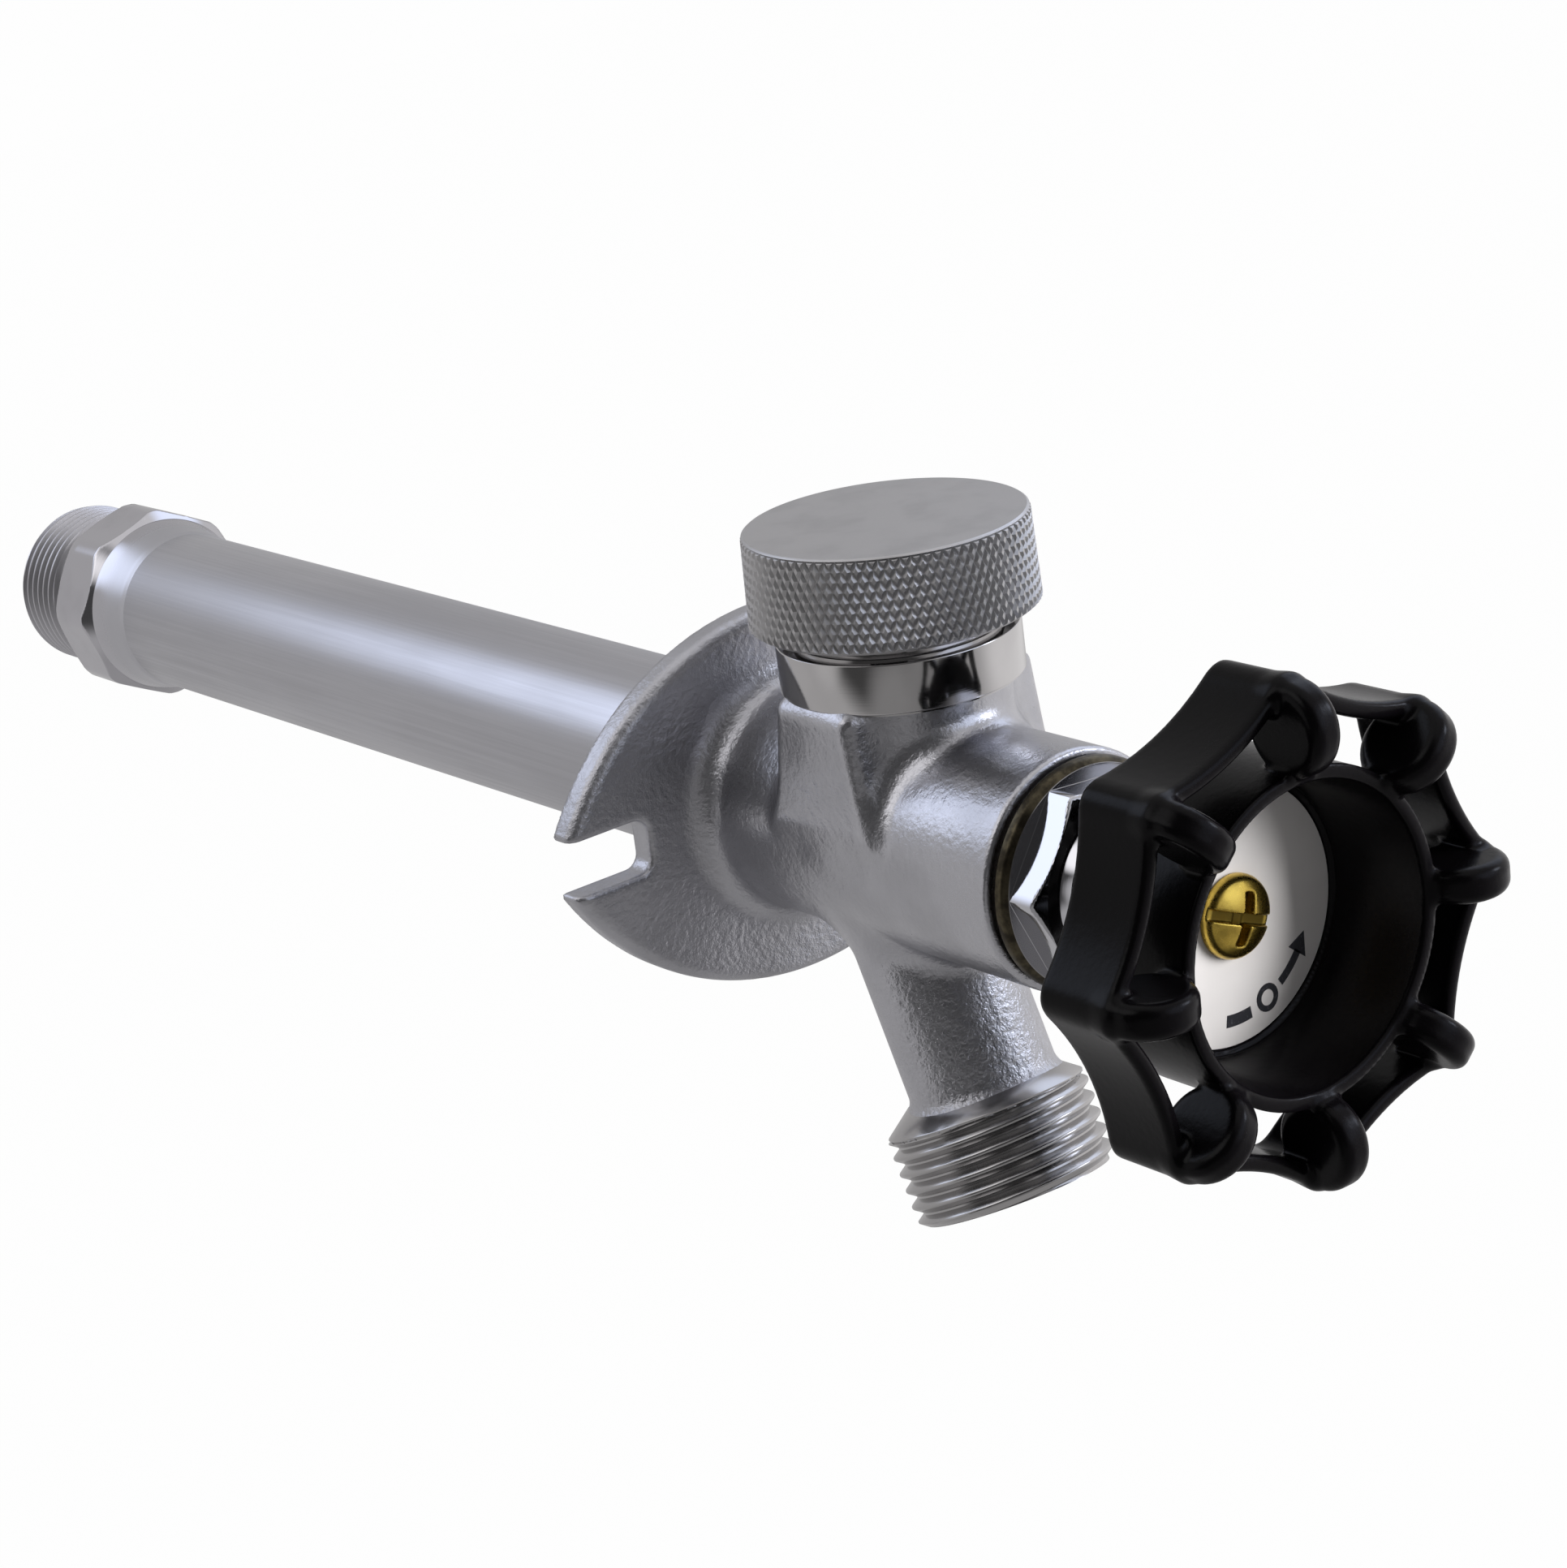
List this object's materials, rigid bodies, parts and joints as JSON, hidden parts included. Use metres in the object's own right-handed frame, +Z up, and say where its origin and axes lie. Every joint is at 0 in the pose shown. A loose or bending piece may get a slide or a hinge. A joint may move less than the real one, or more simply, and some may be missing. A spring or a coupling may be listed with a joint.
{
  "type": "frost free sillcock",
  "caption": "Frost free outdoor wall tap with flange, long casing tube, threaded inlet, angled hose nozzle, knurled vacuum breaker cap and black hand wheel.",
  "frame": {"origin": "on the axis of the barrel and casing tube, in the plane of the flange's back face", "axes": "+Y along the casing tube into the wall, -Y towards the hand wheel, +Z up through the vacuum breaker cap, +X to the right seen from the front"},
  "size_m": [0.0732, 0.2918, 0.0931],
  "materials": {
    "cast_chrome": "satin plate on a casting",
    "tube_steel": "satin",
    "inlet_chrome": "polished",
    "nut_chrome": "polished",
    "cap_grey": "matt, knurled side",
    "brass": "machined",
    "pin_steel": "ground",
    "packing": "graphite packing",
    "rubber": "matt",
    "fibre": "pressed fibre",
    "white_plastic": "moulded",
    "wheel_black": "semi gloss",
    "label_white": "printed"
  },
  "bodies": {
    "body": {"body_casting": "cast_chrome", "casing_tube": "tube_steel", "inlet_fitting": "inlet_chrome", "nut_washer": "fibre", "packing_nut": "nut_chrome", "packing_gland": "brass", "packing_ring_front": "packing", "packing_ring_back": "packing", "packing_washer": "brass", "vb_cap": "cap_grey", "vb_bonnet": "white_plastic", "vb_ring_seal": "rubber"},
    "plunger": {"plunger": "brass", "swivel_pin": "pin_steel", "seat_washer": "rubber", "washer_screw": "brass"},
    "wheel": {"stem": "brass", "operating_rod": "brass", "handle_wheel": "wheel_black", "label_disc": "label_white", "handle_screw": "brass"},
    "float": {"vb_float": "white_plastic", "vb_float_seal": "rubber"}
  },
  "joints": [
    {"name": "rod_travel", "type": "slide", "parent": "body", "child": "plunger", "axis": [0, -1, 0], "range_m": [0, 0.0063]},
    {"name": "handle_turn", "type": "hinge", "parent": "plunger", "child": "wheel", "pos_m": [0, -0.09, 0], "axis": [0, -1, 0], "range_deg": [0, 540]},
    {"name": "float_lift", "type": "slide", "parent": "body", "child": "float", "axis": [0, 0, 1], "range_m": [0, 0.0025]}
  ],
  "couplings": [
    {"joint": "rod_travel", "follows": "handle_turn", "m_per_rad": 0.00066845}
  ]
}
